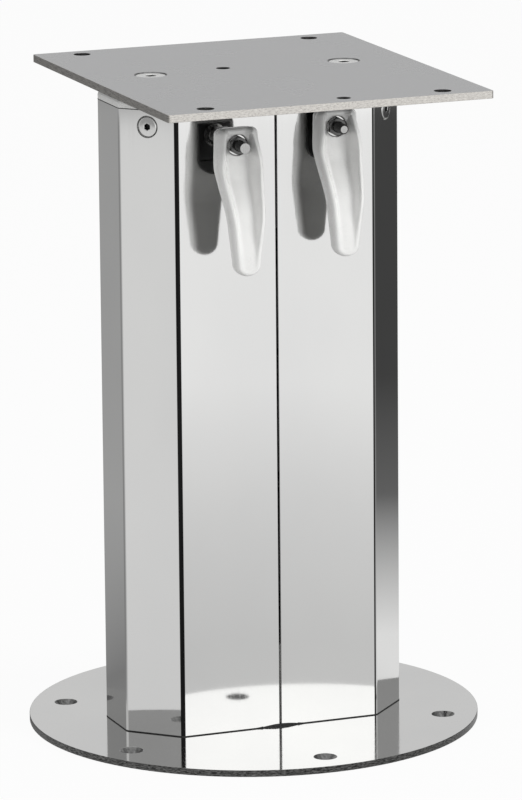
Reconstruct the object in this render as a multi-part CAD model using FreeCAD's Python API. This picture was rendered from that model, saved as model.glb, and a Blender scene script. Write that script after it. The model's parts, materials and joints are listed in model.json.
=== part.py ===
"""Height adjustable table leg, in millimetres.

A round base plate carries an octagonal column folded from one sheet, with a slit down the middle of its front.
An inner column slides in it, guided by a plastic collar at the mouth and a plastic shoe at its own foot.
Two clamp screws with hanging lever handles press pads on the inner column and hold the height.

The origin is the middle of the base plate's underside. +Z is up and the levers are at the front, -Y.
The leg is modelled at its lowest height.
"""
import FreeCAD
import Part
import math
import os

from FreeCAD import Vector

# Base plate
base_diameter = 270.0
base_thickness = 4.0
base_bolt_circle = 230.0
base_bolt_count = 6
base_bolt_first_angle = 30.0
base_bolt_hole = 7.0
base_bolt_mouth = 14.0

# Outer column: an octagon with 45 degree chamfers, folded from sheet
column_width = 176.0
column_depth = 88.0
column_chamfer = 26.0
column_wall = 2.0
column_bend = 4.0
column_height = 376.0
slit_width = 1.2
slit_foot_width = 28.0
slit_foot_height = 1.5

# Inner column
inner_gap = 5.5
inner_wall = 2.0
inner_bend = 4.0

# Travel and the guides
travel = 250.0
stop_clearance = 1.0
slide_clearance = 0.3
seat_clearance = 0.1
collar_fit = 0.2
flange_height = 5.0
flange_rounding = 2.5
shoe_height = 50.0
shoe_floor = 4.0
shoe_floor_ledge = 8.0

# Collar screws, one on each chamfer, with heads sunk in the column's wall
collar_screw_drop = 10.0
collar_screw_diameter = 6.0
collar_screw_length = 4.4
collar_screw_head = 11.6
collar_screw_head_height = 2.6
collar_screw_bevel = 1.0
collar_screw_hole = 13.0
collar_screw_socket = 4.0
collar_screw_socket_depth = 1.6

# Shoe screws, one on each chamfer of the inner column
shoe_screw_height = 24.0
shoe_screw_diameter = 4.0
shoe_screw_head = 7.6
shoe_screw_head_height = 2.2
shoe_screw_sink = 2.6
shoe_screw_reach = 4.0

# Top plate and the blocks that it is screwed to
plate_width = 200.0
plate_depth = 230.0
plate_thickness = 4.5
plate_forward = 18.0
plate_clearance = 5.5
plate_corner = 1.5
plate_hole = 10.0
plate_hole_span_x = 146.0
plate_hole_span_y = 206.0
plate_small_hole = 8.0
plate_small_hole_back = (-14.0, 22.0)
plate_small_hole_front = (12.0, -102.0)
plate_screw_span = 122.0
plate_screw_diameter = 10.0
plate_screw_head = 19.6
plate_screw_length = 24.0
plate_screw_socket = 6.0
plate_screw_socket_depth = 2.6
block_width = 32.0
block_height = 28.0

# Clamp screws and their bosses
lever_span = 65.0
lever_drop_left = 18.0
lever_drop_right = 13.0
lever_standoff_left = 16.0
lever_standoff_right = 8.0
boss_across_flats = 13.0
boss_height = 5.0
boss_spigot = 10.0
screw_diameter = 8.0
screw_point = 5.0
screw_point_depth = 1.2
screw_square = 6.4
screw_end_diameter = 6.0
screw_end_reach = 18.2
screw_end_chamfer = 0.8
shoulder_diameter = 14.0
shoulder_height = 1.5
pad_diameter = 9.0
pad_height = 2.6
pad_clearance = 0.2
pad_lift = 0.05
running_clearance = 0.05

# Handles: a thick body, cranked outwards below its head, with a trough sunk in its front
handle_top = 10.0
handle_length = 74.8
handle_head_thickness = 13.5
handle_tip_thickness = 10.5
handle_crank = 13.0
handle_crank_start = 9.0
handle_crank_end = 46.0
handle_head_width = 22.4
handle_belly_width = 28.0
handle_belly_start = -9.0
handle_belly_drop = 14.0
handle_tip_width = 14.2
handle_back_bevel = 1.2
handle_rim_bevel = 1.6
handle_top_rounding = 3.0
handle_section_step = 5.0
trough_top = 7.0
trough_depth = 7.0
trough_tip_depth = 1.0
trough_rise_start = 18.0
trough_floor_width = 16.0
trough_tip_floor_width = 7.2
trough_land = 1.0
handle_web = 4.5
nut_recess_diameter = 12.6
hub_width = 20.4
hub_top = 7.0
hub_bottom = 23.5
hub_pocket = 3.0
hub_proud = 1.0
washer_diameter = 12.0
washer_height = 0.8
nut_across_flats = 10.0
nut_height = 4.0

# Levels and places that follow
base_top = base_thickness
column_top = base_top + column_height
flange_top = column_top + flange_height
plate_bottom = flange_top + plate_clearance
plate_top = plate_bottom + plate_thickness
shoe_top = base_top + shoe_height
skirt_bottom = shoe_top + travel + stop_clearance
inner_bottom = base_top + shoe_floor
front_y = -column_depth / 2
inner_inset = column_wall + inner_gap
guide_wall = inner_gap - collar_fit - slide_clearance
chamfer_normal = math.radians(45.0)
over = 1.0

up = Vector(0, 0, 1)
outward = Vector(0, -1, 0)


def rounded_wire(points, radii):
    """Closed wire through the points, with each corner rounded by a tangent arc of its radius."""
    starts, ends, arcs, edges = [], [], [], []
    for i, corner in enumerate(points):
        to_last = (points[i - 1] - corner).normalize()
        to_next = (points[(i + 1) % len(points)] - corner).normalize()
        half = to_last.getAngle(to_next) / 2
        reach = radii[i] / math.tan(half)
        middle = (to_last + to_next).normalize()
        starts.append(corner + to_last * reach)
        ends.append(corner + to_next * reach)
        arcs.append(corner + middle * (radii[i] / math.sin(half) - radii[i]))
    for i in range(len(points)):
        edges.append(Part.Arc(starts[i], arcs[i], ends[i]).toShape())
        edges.append(Part.LineSegment(ends[i], starts[(i + 1) % len(points)]).toShape())
    return Part.Wire(edges)


def octagon(inset, radius, bottom, top):
    """Upright octagonal prism: the column's outline moved inwards by inset, with its corners rounded."""
    half_x = column_width / 2 - inset
    half_y = column_depth / 2 - inset
    chamfer = column_chamfer - inset * (2 - math.sqrt(2))
    outline = [(half_x, half_y - chamfer), (half_x - chamfer, half_y)]
    outline += [(-x, y) for x, y in reversed(outline)]
    outline += [(-x, -y) for x, y in outline]
    points = [Vector(x, y, bottom) for x, y in outline]
    return Part.Face(rounded_wire(points, [radius] * len(points))).extrude(up * (top - bottom))


def cylinder(diameter, start, end):
    """Round bar between two points."""
    axis = end - start
    return Part.makeCylinder(diameter / 2, axis.Length, start, axis)


def cone(start_diameter, end_diameter, start, end):
    """Cone between two points."""
    axis = end - start
    return Part.makeCone(start_diameter / 2, end_diameter / 2, axis.Length, start, axis)


def hex_bar(across_flats, start, end, corner_direction):
    """Hexagonal bar between two points, with one corner towards corner_direction."""
    axis = end - start
    radius = across_flats / math.sqrt(3)
    arm = corner_direction.normalize() * radius
    turn = FreeCAD.Rotation(axis, 60)
    points = []
    for _ in range(6):
        points.append(start + arm)
        arm = turn.multVec(arm)
    return Part.Face(Part.makePolygon(points + points[:1])).extrude(axis)


def chamfer_seats(inset, z):
    """Middle of each of the four chamfers at height z, moved inwards by inset, with its outward direction."""
    seats = []
    for side_x in (-1, 1):
        for side_y in (-1, 1):
            normal = Vector(side_x * math.cos(chamfer_normal), side_y * math.sin(chamfer_normal), 0)
            x = side_x * (column_width - column_chamfer) / 2
            y = side_y * (column_depth - column_chamfer) / 2
            seats.append((Vector(x, y, z) - normal * inset, normal))
    return seats


def levers():
    """Name, axis point on the column's front face and gap behind the handle, of the two levers."""
    left = Vector(-lever_span / 2, front_y, column_top - lever_drop_left)
    right = Vector(lever_span / 2, front_y, column_top - lever_drop_right)
    return [("left", left, lever_standoff_left), ("right", right, lever_standoff_right)]


def base_plate():
    """Round plate with countersunk holes on a circle."""
    plate = cylinder(base_diameter, Vector(0, 0, 0), up * base_top)
    cone_depth = (base_bolt_mouth - base_bolt_hole) / 2
    for i in range(base_bolt_count):
        angle = math.radians(base_bolt_first_angle + 360 * i / base_bolt_count)
        foot = Vector(math.cos(angle), math.sin(angle), 0) * (base_bolt_circle / 2)
        plate = plate.cut(cylinder(base_bolt_hole, foot - up * over, foot + up * (base_top + over)))
        throat = foot + up * (base_top - cone_depth)
        plate = plate.cut(cone(base_bolt_hole, base_bolt_mouth, throat, foot + up * base_top))
    return plate


def outer_column():
    """Folded octagonal tube with its slit, and holes for the bosses and the collar screws' heads."""
    tube = octagon(0, column_bend, base_top, column_top)
    tube = tube.cut(octagon(column_wall, column_bend - column_wall, base_top - over, column_top + over))
    deep = column_wall + column_bend
    slit_corner = Vector(-slit_width / 2, front_y - over, base_top - over)
    tube = tube.cut(Part.makeBox(slit_width, deep, column_height + 2 * over, slit_corner))
    # The foot of the slit is a shallow arch, cut by a bar whose radius follows from its width and height.
    radius = (slit_foot_width ** 2 / 4 + slit_foot_height ** 2) / (2 * slit_foot_height)
    low = Vector(0, front_y - over, base_top + slit_foot_height - radius)
    tube = tube.cut(cylinder(2 * radius, low, low - outward * deep))
    for _, point, _ in levers():
        hole = boss_spigot + 2 * running_clearance
        tube = tube.cut(cylinder(hole, point + outward * over, point - outward * deep))
    for point, normal in chamfer_seats(0, column_top - collar_screw_drop):
        tube = tube.cut(cylinder(collar_screw_hole, point + normal * over, point - normal * deep))
    return tube


def guide_collar():
    """Plastic collar: a flange on the column's rim and a skirt inside it, bored for the pads and its screws."""
    flange = octagon(0, column_bend, column_top, flange_top)
    rim = [edge for edge in flange.Edges if edge.BoundBox.ZMin > flange_top - seat_clearance]
    flange = flange.makeFillet(flange_rounding, rim)
    skirt_inset = column_wall + collar_fit
    skirt = octagon(skirt_inset, max(column_bend - skirt_inset, collar_fit), skirt_bottom, column_top)
    collar = flange.fuse(skirt).removeSplitter()
    bore_bend = inner_bend + slide_clearance
    collar = collar.cut(octagon(inner_inset - slide_clearance, bore_bend, skirt_bottom - over, flange_top + over))
    for _, point, _ in levers():
        hole = pad_diameter + 2 * pad_clearance
        collar = collar.cut(cylinder(hole, point, point - outward * (inner_inset + over)))
    for point, normal in chamfer_seats(0, column_top - collar_screw_drop):
        hole = collar_screw_diameter + 2 * running_clearance
        collar = collar.cut(cylinder(hole, point, point - normal * (inner_inset + over)))
    return collar


def collar_screws():
    """Four button-head socket screws in the collar's skirt, with their heads in the column's oversize holes."""
    screws = []
    for seat, normal in chamfer_seats(column_wall + collar_fit, column_top - collar_screw_drop):
        top = seat + normal * collar_screw_head_height
        rim = top - normal * collar_screw_bevel
        screw = cylinder(collar_screw_head, seat, rim)
        screw = screw.fuse(cone(collar_screw_head, collar_screw_head - 2 * collar_screw_bevel, rim, top))
        screw = screw.fuse(cylinder(collar_screw_diameter, seat, seat - normal * collar_screw_length))
        socket_floor = top - normal * collar_screw_socket_depth
        screws.append(screw.cut(hex_bar(collar_screw_socket, socket_floor, top + normal * over, up)))
    return Part.makeCompound(screws)


def screw_boss(point):
    """Hexagonal boss on the front wall, with a spigot through it and the bore for the clamp screw."""
    boss = hex_bar(boss_across_flats, point, point + outward * boss_height, Vector(1, 0, 0))
    boss = boss.fuse(cylinder(boss_spigot, point, point - outward * column_wall))
    bore = screw_diameter + 2 * running_clearance
    mouth = point + outward * (boss_height + over)
    return boss.cut(cylinder(bore, mouth, point - outward * (column_wall + over)))


def pressure_pad(point):
    """Pad between the clamp screw's point and the inner column, with a pocket for the point."""
    face = point - outward * (inner_inset - pad_lift)
    back = face + outward * pad_height
    pocket = screw_point + 2 * running_clearance
    pad = cylinder(pad_diameter, face, back)
    return pad.cut(cylinder(pocket, back - outward * screw_point_depth, back + outward * over))


def inner_column():
    """Closed octagonal tube, tapped for the shoe's screws."""
    tube = octagon(inner_inset, inner_bend, inner_bottom, plate_bottom)
    wall_inset = inner_inset + inner_wall
    tube = tube.cut(octagon(wall_inset, inner_bend - inner_wall, inner_bottom - over, plate_bottom + over))
    for point, normal in chamfer_seats(inner_inset, base_top + shoe_screw_height):
        hole = shoe_screw_diameter + 2 * running_clearance
        tube = tube.cut(cylinder(hole, point + normal * over, point - normal * (inner_wall + inner_bend)))
    return tube


def slide_shoe():
    """Plastic cup round the foot of the inner column, with a ledge under it and sunk seats for its screws."""
    inset = column_wall + slide_clearance
    shoe = octagon(inset, max(column_bend - inset, collar_fit), base_top, shoe_top)
    seat_inset = inner_inset - seat_clearance
    shoe = shoe.cut(octagon(seat_inset, inner_bend + seat_clearance, inner_bottom, shoe_top + over))
    ledge = inner_inset + shoe_floor_ledge
    shoe = shoe.cut(octagon(ledge, inner_bend, base_top - over, inner_bottom + over))
    for point, normal in chamfer_seats(inset, base_top + shoe_screw_height):
        sink_diameter = shoe_screw_head + 2 * pad_clearance
        sink = cylinder(sink_diameter, point + normal * over, point - normal * shoe_screw_sink)
        hole = shoe_screw_diameter + 2 * running_clearance
        shoe = shoe.cut(sink).cut(cylinder(hole, point, point - normal * (inner_gap + over)))
    return shoe


def shoe_screws():
    """Four pan-head screws through the shoe into the inner column."""
    screws = []
    length = guide_wall - shoe_screw_sink + inner_wall + shoe_screw_reach
    sink = column_wall + slide_clearance + shoe_screw_sink
    for seat, normal in chamfer_seats(sink, base_top + shoe_screw_height):
        head = cylinder(shoe_screw_head, seat, seat + normal * shoe_screw_head_height)
        screws.append(head.fuse(cylinder(shoe_screw_diameter, seat, seat - normal * length)))
    return Part.makeCompound(screws)


def plate_screw(side, clearance):
    """Countersunk screw of the top plate on the column's centre line, grown by a clearance to cut its seat."""
    axis = Vector(side * plate_screw_span / 2, 0, 0)
    grow = 2 * clearance
    cone_depth = (plate_screw_head - plate_screw_diameter) / 2
    mouth = axis + up * plate_top
    head = cone(plate_screw_diameter + grow, plate_screw_head + grow, mouth - up * cone_depth, mouth)
    return head.fuse(cylinder(plate_screw_diameter + grow, mouth - up * plate_screw_length, mouth))


def top_plate():
    """Rectangular plate set forward of the column, with corner holes, small holes and countersinks."""
    corner = Vector(-plate_width / 2, -plate_depth / 2 - plate_forward, plate_bottom)
    plate = Part.makeBox(plate_width, plate_depth, plate_thickness, corner)
    upright = [edge for edge in plate.Edges if edge.BoundBox.ZLength > plate_thickness / 2]
    plate = plate.makeFillet(plate_corner, upright)
    middle = Vector(0, -plate_forward, plate_bottom - over)
    through = up * (plate_thickness + 2 * over)
    for side_x in (-1, 1):
        for side_y in (-1, 1):
            foot = middle + Vector(side_x * plate_hole_span_x / 2, side_y * plate_hole_span_y / 2, 0)
            plate = plate.cut(cylinder(plate_hole, foot, foot + through))
    for x, y in (plate_small_hole_back, plate_small_hole_front):
        foot = middle + Vector(x, y, 0)
        plate = plate.cut(cylinder(plate_small_hole, foot, foot + through))
    for side in (-1, 1):
        plate = plate.cut(plate_screw(side, running_clearance))
    return plate


def plate_screws():
    """The two countersunk screws, with their sockets."""
    screws = []
    for side in (-1, 1):
        mouth = Vector(side * plate_screw_span / 2, 0, plate_top)
        socket_floor = mouth - up * plate_screw_socket_depth
        socket = hex_bar(plate_screw_socket, socket_floor, mouth + up * over, Vector(1, 0, 0))
        screws.append(plate_screw(side, 0).cut(socket))
    return Part.makeCompound(screws)


def top_block(side):
    """Block that fills one end of the inner column's mouth and takes a screw of the top plate."""
    inset = inner_inset + inner_wall + seat_clearance
    radius = max(inner_bend - inner_wall - seat_clearance, seat_clearance)
    bottom = plate_bottom - block_height
    corner = Vector(side * plate_screw_span / 2 - block_width / 2, front_y, bottom - over)
    slice_box = Part.makeBox(block_width, column_depth, block_height + 2 * over, corner)
    block = octagon(inset, radius, bottom, plate_bottom).common(slice_box)
    return block.cut(plate_screw(side, running_clearance))


def clamp_screw(point, standoff):
    """Stepped screw: point, thread, shoulder, a square that turns with the hub, and the threaded end."""
    tip = point - outward * (inner_inset - pad_lift - pad_height + screw_point_depth - running_clearance)
    thread_start = point - outward * (inner_inset - pad_lift - pad_height - pad_clearance)
    hub_back = point + outward * (standoff - hub_proud)
    shoulder = hub_back - outward * shoulder_height
    square_end = point + outward * (standoff + hub_pocket)
    end = point + outward * (standoff + screw_end_reach)
    screw = cylinder(screw_point, tip, thread_start).fuse(cylinder(screw_diameter, thread_start, shoulder))
    screw = screw.fuse(cylinder(shoulder_diameter, shoulder, hub_back))
    half = screw_square / 2
    corner = square_end + Vector(-half, 0, -half)
    screw = screw.fuse(Part.makeBox(screw_square, (hub_back - square_end).Length, screw_square, corner))
    neck = end - outward * screw_end_chamfer
    screw = screw.fuse(cylinder(screw_end_diameter, hub_back, neck))
    screw = screw.fuse(cone(screw_end_diameter, screw_end_diameter - 2 * screw_end_chamfer, neck, end))
    return screw.removeSplitter()


def u_prism(width, top, bottom, point, start, end):
    """Prism with a flat top and a half-round bottom about the lever's axis, between two distances along it."""
    radius = width / 2
    low = bottom - radius
    at = point + outward * start
    block = Part.makeBox(width, end - start, top + low, at + Vector(-radius, -(end - start), -low))
    foot = at - up * low
    return block.fuse(cylinder(width, foot, foot + outward * (end - start))).removeSplitter()


def hub(point, standoff):
    """Moulded hub that fills the pocket in the handle's head and turns the screw by a square hole."""
    back = standoff - hub_proud
    front = standoff + hub_pocket
    solid = u_prism(hub_width, hub_top, hub_bottom, point, back, front)
    side = screw_square + 2 * running_clearance
    corner = point + Vector(-side / 2, 0, -side / 2) + outward * (front + over)
    return solid.cut(Part.makeBox(side, front - back + 2 * over, side, corner))


def eased(first, last, start, end, drop):
    """Value that goes smoothly from first to last while the drop goes from start to end."""
    share = min(max((drop - start) / (end - start), 0), 1)
    return first + (last - first) * share * share * (3 - 2 * share)


def tapered(belly, tip, drop):
    """Width that keeps to the belly, then narrows evenly to the tip."""
    return belly + (tip - belly) * max(drop - handle_belly_drop, 0) / (handle_length - handle_belly_drop)


def handle_form(standoff, drop):
    """Back, front and half width of the handle at a drop below its axis."""
    back = standoff + eased(0, handle_crank, handle_crank_start, handle_crank_end, drop)
    front = back + eased(handle_head_thickness, handle_tip_thickness, 0, handle_length, drop)
    width = eased(handle_head_width - handle_belly_width, 0, handle_belly_start, handle_belly_drop, drop)
    return back, front, (width + tapered(handle_belly_width, handle_tip_width, drop)) / 2


def mirrored_wire(right, point, drop):
    """Closed wire at a drop below the lever's axis, through points of the right half and their mirror images."""
    outline = right + [(-x, y) for x, y in reversed(right)]
    points = [point + Vector(x, -y, -drop) for x, y in outline]
    return Part.makePolygon(points + points[:1])


def handle_section(point, standoff, drop):
    """Outline of the handle's body: flat back, upright sides, and bevelled edges."""
    back, front, half = handle_form(standoff, drop)
    right = [(half - handle_back_bevel, back), (half, back + handle_back_bevel),
             (half, front - handle_rim_bevel), (half - handle_rim_bevel, front)]
    return mirrored_wire(right, point, drop)


def trough_section(point, standoff, drop):
    """Outline of the trough: a floor that rises towards the tip, and walls that open out to the rims."""
    _, front, half = handle_form(standoff, drop)
    depth = eased(trough_depth, trough_tip_depth, trough_rise_start, handle_length, drop)
    floor_half = tapered(trough_floor_width, trough_tip_floor_width, drop) / 2
    mouth_half = half - handle_rim_bevel - trough_land
    right = [(floor_half, front - depth), (mouth_half, front), (mouth_half, front + over)]
    return mirrored_wire(right, point, drop)


def lofted(section, point, standoff, start, end):
    """Solid through sections at equal steps of drop."""
    count = round((end - start) / handle_section_step)
    drops = [start + (end - start) * i / count for i in range(count + 1)]
    return Part.makeLoft([section(point, standoff, drop) for drop in drops], True, False)


def handle(point, standoff):
    """Cranked handle with a trough in its front, a round tip, a pocket for the hub and a recess for the nut."""
    body = lofted(handle_section, point, standoff, -handle_top, handle_length)
    body = body.cut(lofted(trough_section, point, standoff, -trough_top, handle_length + over))
    far = standoff + handle_crank + handle_head_thickness + over
    tip_radius = handle_tip_width / 2
    tip_centre = point - up * (handle_length - tip_radius)
    waste = Part.makeBox(2 * tip_radius + 2 * over, far, tip_radius + over,
                         tip_centre + Vector(-tip_radius - over, -far, -tip_radius - over))
    body = body.cut(waste.cut(cylinder(handle_tip_width, tip_centre, tip_centre + outward * far)))
    for side in (-1, 1):
        centre_x = side * (handle_head_width / 2 - handle_top_rounding)
        centre = point + Vector(centre_x, 0, handle_top - handle_top_rounding)
        reach = handle_top_rounding + over
        waste = Part.makeBox(reach, far, reach, centre + Vector(min(side, 0) * reach, -far, 0))
        body = body.cut(waste.cut(cylinder(2 * handle_top_rounding, centre, centre + outward * far)))
    pocket = u_prism(hub_width + 2 * seat_clearance, hub_top + seat_clearance, hub_bottom + seat_clearance,
                     point, standoff - over, standoff + hub_pocket)
    recess = cylinder(nut_recess_diameter, point + outward * (standoff + handle_web), point + outward * far)
    hole = cylinder(screw_end_diameter + 2 * running_clearance, point, point + outward * far)
    return body.cut(pocket).cut(recess).cut(hole)


def lock_washer(ledge):
    """Flat washer on the recess floor."""
    ring = cylinder(washer_diameter, ledge, ledge + outward * washer_height)
    bore = screw_end_diameter + 2 * running_clearance
    return ring.cut(cylinder(bore, ledge - outward * over, ledge + outward * (washer_height + over)))


def lock_nut(ledge):
    """Thin hexagonal nut on the washer."""
    start = ledge + outward * washer_height
    nut = hex_bar(nut_across_flats, start, start + outward * nut_height, Vector(1, 0, 0))
    bore = screw_end_diameter + 2 * running_clearance
    return nut.cut(cylinder(bore, start - outward * over, start + outward * (nut_height + over)))


def build():
    """All pieces by node name."""
    nodes = {"base_plate": base_plate(), "outer_column": outer_column(), "guide_collar": guide_collar(),
             "collar_screws": collar_screws(), "inner_column": inner_column(), "slide_shoe": slide_shoe(),
             "shoe_screws": shoe_screws(), "top_plate": top_plate(), "plate_screws": plate_screws(),
             "top_block_left": top_block(-1), "top_block_right": top_block(1)}
    for name, point, standoff in levers():
        ledge = point + outward * (standoff + handle_web)
        nodes["screw_boss_" + name] = screw_boss(point)
        nodes["pressure_pad_" + name] = pressure_pad(point)
        nodes["clamp_screw_" + name] = clamp_screw(point, standoff)
        nodes["hub_" + name] = hub(point, standoff)
        nodes["handle_" + name] = handle(point, standoff)
        nodes["lock_washer_" + name] = lock_washer(ledge)
        nodes["lock_nut_" + name] = lock_nut(ledge)
    return nodes


os.makedirs("parts", exist_ok=True)
for node, shape in build().items():
    shape.exportStep("parts/" + node + ".step")
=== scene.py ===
"""Looks of the height adjustable table leg, in metres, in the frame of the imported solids.

Shapes are worked out in millimetres and scaled once, where a mesh is made.
"""
import json
import math

import bmesh
import bpy
import numpy as np
from mathutils import Matrix

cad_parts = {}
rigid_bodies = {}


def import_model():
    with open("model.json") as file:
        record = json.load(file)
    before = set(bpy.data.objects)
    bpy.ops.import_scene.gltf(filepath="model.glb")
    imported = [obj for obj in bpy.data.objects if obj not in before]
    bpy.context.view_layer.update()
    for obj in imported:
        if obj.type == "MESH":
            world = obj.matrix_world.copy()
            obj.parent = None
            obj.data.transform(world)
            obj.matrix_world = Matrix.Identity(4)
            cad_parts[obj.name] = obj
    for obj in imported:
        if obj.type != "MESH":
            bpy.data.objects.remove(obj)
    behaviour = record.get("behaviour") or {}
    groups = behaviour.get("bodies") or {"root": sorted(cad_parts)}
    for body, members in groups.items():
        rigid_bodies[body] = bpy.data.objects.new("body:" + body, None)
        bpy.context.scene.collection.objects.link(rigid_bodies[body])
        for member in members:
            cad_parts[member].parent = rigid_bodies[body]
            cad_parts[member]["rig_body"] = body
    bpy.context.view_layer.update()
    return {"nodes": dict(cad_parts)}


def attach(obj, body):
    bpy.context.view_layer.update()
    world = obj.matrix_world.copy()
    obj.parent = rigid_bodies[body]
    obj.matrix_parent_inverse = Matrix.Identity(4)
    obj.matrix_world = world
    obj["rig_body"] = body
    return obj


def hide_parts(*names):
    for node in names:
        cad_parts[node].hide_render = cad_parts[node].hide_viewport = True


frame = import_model()
nodes = frame["nodes"]
MM = 0.001

# Sizes shared with the solids, in millimetres. A lever has its axis' x and z, and how far the back
# of its handle's head stands off the column's front. A drop is measured down from that axis.
FRONT_Y = -44.0
LEVERS = {"left": (-32.5, 362.0, 16.0), "right": (32.5, 367.0, 8.0)}
HANDLE_TOP = 10.0
HANDLE_LENGTH = 74.8
HANDLE_BELLY = 14.0
HANDLE_WEB = 4.5
HEAD_THICKNESS = 13.5
COLUMN_HALF_X = 88.0
COLUMN_HALF_Y = 44.0
COLUMN_CHAMFER = 26.0
COLUMN_BEND = 4.0
COLLAR_SEAT = 2.2
COLLAR_SCREW_Z = 370.0
PLATE_HALF_X = 100.0
PLATE_HALF_Y = 115.0
PLATE_SHIFT_Y = -18.0
PLATE_SCREW_X = 61.0

# Sizes of the dressing, in millimetres and degrees
RIM_HEAD, RIM_CORNER = 22.4, 4.4
BACK_HEAD, BACK_CORNER = 27.8, 3.8
COLLAR_SOCKET = 3.6
PLATE_SOCKET = 6.0
CREASE = 32.0
HANDLE_CREASE = 50.0
SCREW_CREASE = 30.0
OUTWARDS = (0, -1, 0)


# Meshes

def ease(share):
    """Smooth step from 0 to 1: 3 s squared less 2 s cubed."""
    share = np.clip(share, 0.0, 1.0)
    return share * share * (3.0 - 2.0 * share)


def around(segments):
    """Even angles once round an axis."""
    return np.linspace(0.0, 2.0 * np.pi, segments, endpoint=False)


def mesh_piece(name, points, faces, crease=CREASE):
    """Object of points in millimetres and faces."""
    mesh = bpy.data.meshes.new(name)
    mesh.from_pydata((points.reshape(-1, 3) * MM).tolist(), [], faces.tolist())
    return finish_mesh(name, mesh, crease)


def shade(mesh, crease):
    """Smooth shading, with the edges over the crease angle sharp."""
    mesh.shade_smooth()
    mesh.set_sharp_from_angle(angle=math.radians(crease))


def merge_doubles(work):
    """Merges points that lie within two thousandths of a millimetre."""
    bmesh.ops.remove_doubles(work, verts=work.verts, dist=2e-6)


def finish_mesh(name, mesh, crease):
    """Object of a mesh, with its doubles merged, its faces turned outwards and its shading set."""
    work = bmesh.new()
    work.from_mesh(mesh)
    merge_doubles(work)
    bmesh.ops.dissolve_degenerate(work, edges=work.edges, dist=1e-7)
    bmesh.ops.recalc_face_normals(work, faces=work.faces)
    work.to_mesh(mesh)
    work.free()
    shade(mesh, crease)
    piece = bpy.data.objects.new(name, mesh)
    bpy.context.scene.collection.objects.link(piece)
    return piece


def grid_faces(rows, columns, close_rows=False, close_columns=False):
    """Four-sided faces between neighbours in a grid, wrapped round where it is closed."""
    index = np.arange(rows * columns).reshape(rows, columns)
    if close_rows:
        index = np.vstack([index, index[:1]])
    if close_columns:
        index = np.hstack([index, index[:, :1]])
    corners = [index[:-1, :-1], index[:-1, 1:], index[1:, 1:], index[1:, :-1]]
    return np.stack(corners, -1).reshape(-1, 4)


def rings(profile, segments):
    """Distances along an axis and radii of a plain profile, each repeated round the axis."""
    along, radius = np.asarray(profile, float).T
    return np.repeat(along[:, None], segments, 1), np.repeat(radius[:, None], segments, 1)


def turned(name, along, radius, origin, axis, side, crease=CREASE):
    """Surface round an axis: origin, plus the distance along it, plus the radius times a spoke.

    The radius may change with the angle, and a spoke is the side's direction times the cosine and
    the third direction times the sine.
    """
    angle = around(radius.shape[1])
    axis = np.asarray(axis, float)
    side = np.asarray(side, float)
    third = np.cross(axis, side)
    spoke = np.cos(angle)[:, None] * side + np.sin(angle)[:, None] * third
    points = np.asarray(origin, float) + along[:, :, None] * axis + radius[:, :, None] * spoke[None]
    return mesh_piece(name, points, grid_faces(*radius.shape, close_columns=True), crease)


def hexagon(across_flats, segments):
    """Radius of a hexagon by angle: half its width over the cosine of the angle from a flat."""
    sixth = np.pi / 3.0
    return across_flats / 2.0 / np.cos((around(segments) % sixth) - sixth / 2.0)


def cut(piece, cutter, crease=CREASE):
    """Takes the cutter out of the piece for good and removes the cutter."""
    step = piece.modifiers.new("cut", "BOOLEAN")
    step.operation = "DIFFERENCE"
    step.solver = "EXACT"
    step.object = cutter
    depsgraph = bpy.context.evaluated_depsgraph_get()
    mesh = bpy.data.meshes.new_from_object(piece.evaluated_get(depsgraph))
    piece.modifiers.clear()
    shade(mesh, crease)
    piece.data = mesh
    bpy.data.objects.remove(cutter)


def edge_break(piece, width):
    """Small rounding on the sharp edges."""
    bevel = piece.modifiers.new("edge_break", "BEVEL")
    bevel.width = width * MM
    bevel.segments = 2
    bevel.limit_method = "ANGLE"
    bevel.angle_limit = math.radians(CREASE)
    bevel.use_clamp_overlap = True


def flat_normals(piece):
    """Large faces keep their own normals, and the small ones between them bend."""
    normals = piece.modifiers.new("flat_normals", "WEIGHTED_NORMAL")
    normals.keep_sharp = True
    normals.weight = 50


def dressed(node, finish, slot, width):
    """Merged copy of a node's solid, with its flats joined and its edges broken, in its place."""
    flat_angle = math.radians(0.3)
    work = bmesh.new()
    work.from_mesh(nodes[node].data)
    merge_doubles(work)
    bmesh.ops.dissolve_limit(work, angle_limit=flat_angle, verts=work.verts, edges=work.edges)
    mesh = bpy.data.meshes.new(node + "_dressed")
    work.to_mesh(mesh)
    work.free()
    if "custom_normal" in mesh.attributes:
        mesh.attributes.remove(mesh.attributes["custom_normal"])
    piece = finish_mesh(node + "_dressed", mesh, CREASE)
    edge_break(piece, width)
    flat_normals(piece)
    return place(piece, nodes[node]["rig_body"], finish, slot, node)


def place(piece, body, finish, slot, *stands_for):
    """Rides the piece on its body with its finish, in place of what it stands for. The slot is not
    used.
    """
    piece.data.materials.clear()
    piece.data.materials.append(finish)
    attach(piece, body)
    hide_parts(*stands_for)
    return piece


def capped(piece):
    """Closes the open ends of a tube."""
    work = bmesh.new()
    work.from_mesh(piece.data)
    open_edges = [edge for edge in work.edges if edge.is_boundary]
    bmesh.ops.holes_fill(work, edges=open_edges, sides=0)
    bmesh.ops.recalc_face_normals(work, faces=work.faces)
    work.to_mesh(piece.data)
    work.free()
    return piece


def joined(name, pieces):
    """One object from several separate ones."""
    work = bmesh.new()
    for piece in pieces:
        work.from_mesh(piece.data)
        bpy.data.objects.remove(piece)
    mesh = bpy.data.meshes.new(name)
    work.to_mesh(mesh)
    work.free()
    piece = finish_mesh(name, mesh, SCREW_CREASE)
    flat_normals(piece)
    return piece


# Handles

def outward(x, z, distance):
    """Point on a lever's axis at a distance out from the column's front face."""
    return np.array([x, FRONT_Y - distance, z])


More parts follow.
